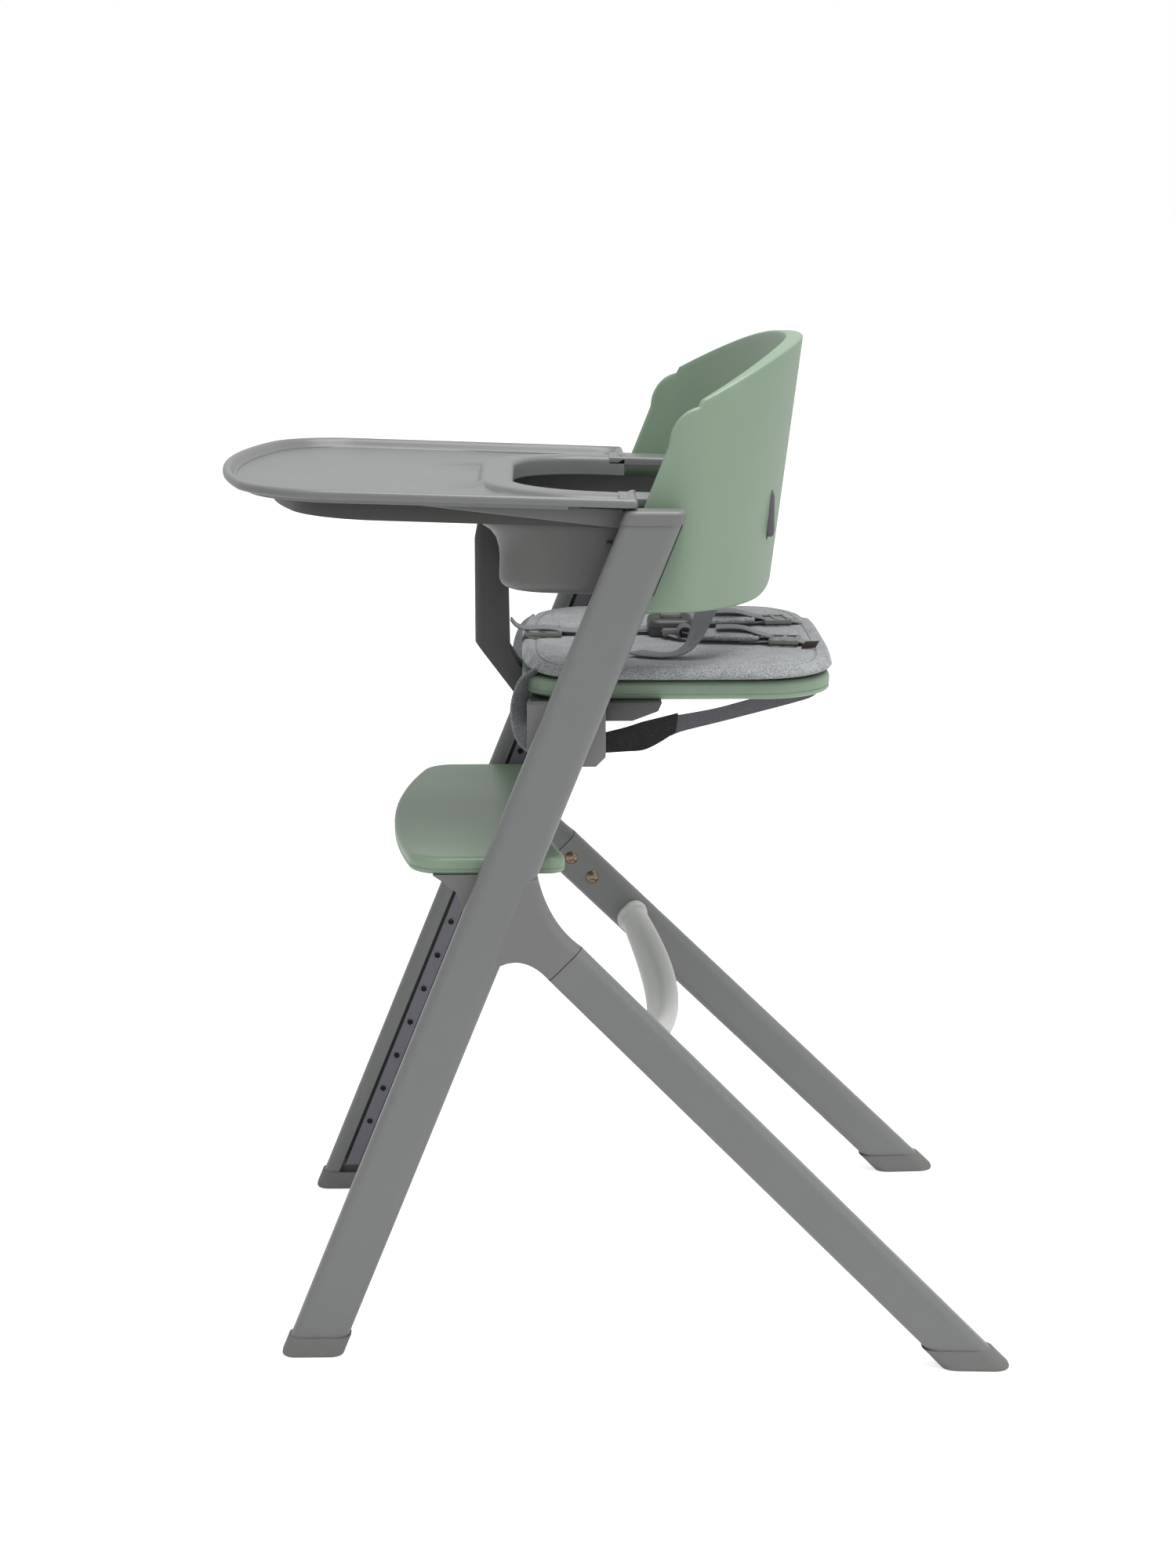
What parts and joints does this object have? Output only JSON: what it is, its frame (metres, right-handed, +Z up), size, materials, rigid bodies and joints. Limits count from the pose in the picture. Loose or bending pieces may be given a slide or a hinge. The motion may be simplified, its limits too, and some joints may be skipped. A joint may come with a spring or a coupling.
{
  "type": "high chair",
  "caption": "Baby high chair with leaning hole-rail legs, sliding padded seat and footrest, curved backrest shell, guard ring and tray.",
  "frame": {"origin": "on the floor, in the mid-plane, midway between the tip of the tray and the rear feet", "axes": "+Z up, -Y the way the child faces, +X the child's left"},
  "size_m": [0.5238, 0.6574, 0.838],
  "materials": {
    "leg_paint": "satin powder coat",
    "grey_plastic": "fine satin moulding",
    "tray_plastic": "satin with a soft gloss",
    "green_plastic": "satin sage green",
    "dark_plastic": "dark grey moulding",
    "rail_plastic": "cool grey moulding",
    "foot_rubber": "soft grey rubber",
    "cushion_fabric": "grey melange weave",
    "webbing": "herringbone webbing",
    "hook_fabric": "hook and loop tape",
    "screw_steel": "bronzed steel",
    "label_fabric": "plain woven tag"
  },
  "bodies": {
    "frame": {"backrest_shell": "green_plastic", "connector_cover_left": "grey_plastic", "connector_cover_right": "grey_plastic", "connector_left": "grey_plastic", "connector_right": "grey_plastic", "front_foot_left": "foot_rubber", "front_foot_right": "foot_rubber", "front_leg_left": "leg_paint", "front_leg_right": "leg_paint", "guard_brackets": "grey_plastic", "guard_ring": "grey_plastic", "handle_bar": "grey_plastic", "handle_collars": "grey_plastic", "harness_anchors": "webbing", "leg_cap_left": "grey_plastic", "leg_cap_right": "grey_plastic", "leg_screws": "screw_steel", "rail_left": "rail_plastic", "rail_right": "rail_plastic", "rear_foot_left": "foot_rubber", "rear_foot_right": "foot_rubber", "rear_leg_left": "leg_paint", "rear_leg_right": "leg_paint", "shell_brackets": "dark_plastic", "shell_screws": "screw_steel", "shoulder_strap_left": "webbing", "shoulder_strap_right": "webbing"},
    "seat": {"crotch_post": "dark_plastic", "crotch_slider": "grey_plastic", "crotch_strap": "webbing", "cushion_front_loops": "cushion_fabric", "cushion_label": "label_fabric", "cushion_straps": "webbing", "harness_buckle": "dark_plastic", "harness_straps": "webbing", "seat_arms": "dark_plastic", "seat_carrier_left": "grey_plastic", "seat_carrier_right": "grey_plastic", "seat_cross_tube": "dark_plastic", "seat_cushion": "cushion_fabric", "seat_plate": "green_plastic", "seat_screws": "screw_steel", "shoulder_pads": "cushion_fabric", "strap_adjusters": "grey_plastic", "strap_hook_tabs": "hook_fabric"},
    "footrest": {"footrest_bracket_left": "grey_plastic", "footrest_bracket_right": "grey_plastic", "footrest_plate": "green_plastic", "footrest_screws": "screw_steel"},
    "tray": {"lever_pin": "screw_steel", "tray_base": "tray_plastic", "tray_side_rails": "tray_plastic", "tray_top": "tray_plastic"},
    "tray_lever": {"tray_lever": "tray_plastic"},
    "buckle_button": {"buckle_button": "dark_plastic"},
    "seat_lock_left": {"seat_lock_left": "dark_plastic"},
    "seat_lock_right": {"seat_lock_right": "dark_plastic"},
    "footrest_lock_left": {"footrest_lock_left": "dark_plastic"},
    "footrest_lock_right": {"footrest_lock_right": "dark_plastic"}
  },
  "joints": [
    {"name": "seat_height", "type": "slide", "parent": "frame", "child": "seat", "axis": [0, 0.3746, 0.9272], "range_m": [-0.0359, 0]},
    {"name": "footrest_height", "type": "slide", "parent": "frame", "child": "footrest", "axis": [0, 0.3746, 0.9272], "range_m": [-0.2872, 0]},
    {"name": "tray_slide", "type": "slide", "parent": "frame", "child": "tray", "axis": [0, -0.9995, 0.0332], "range_m": [0, 0.06]},
    {"name": "tray_release", "type": "hinge", "parent": "tray", "child": "tray_lever", "pos_m": [0, -0.26248, 0.71083], "axis": [-1, 0, 0], "range_deg": [0, 8], "stiffness_Nm_per_rad": 0.1},
    {"name": "buckle_press", "type": "slide", "parent": "seat", "child": "buckle_button", "axis": [0, 0, -1], "range_m": [0, 0.0025], "stiffness_N_per_m": 300},
    {"name": "seat_lock_left_slide", "type": "slide", "parent": "seat", "child": "seat_lock_left", "axis": [1, 0, 0], "range_m": [0, 0.004]},
    {"name": "seat_lock_right_slide", "type": "slide", "parent": "seat", "child": "seat_lock_right", "axis": [-1, 0, 0], "range_m": [0, 0.004]},
    {"name": "footrest_lock_left_slide", "type": "slide", "parent": "footrest", "child": "footrest_lock_left", "axis": [1, 0, 0], "range_m": [0, 0.004]},
    {"name": "footrest_lock_right_slide", "type": "slide", "parent": "footrest", "child": "footrest_lock_right", "axis": [-1, 0, 0], "range_m": [0, 0.004]}
  ]
}
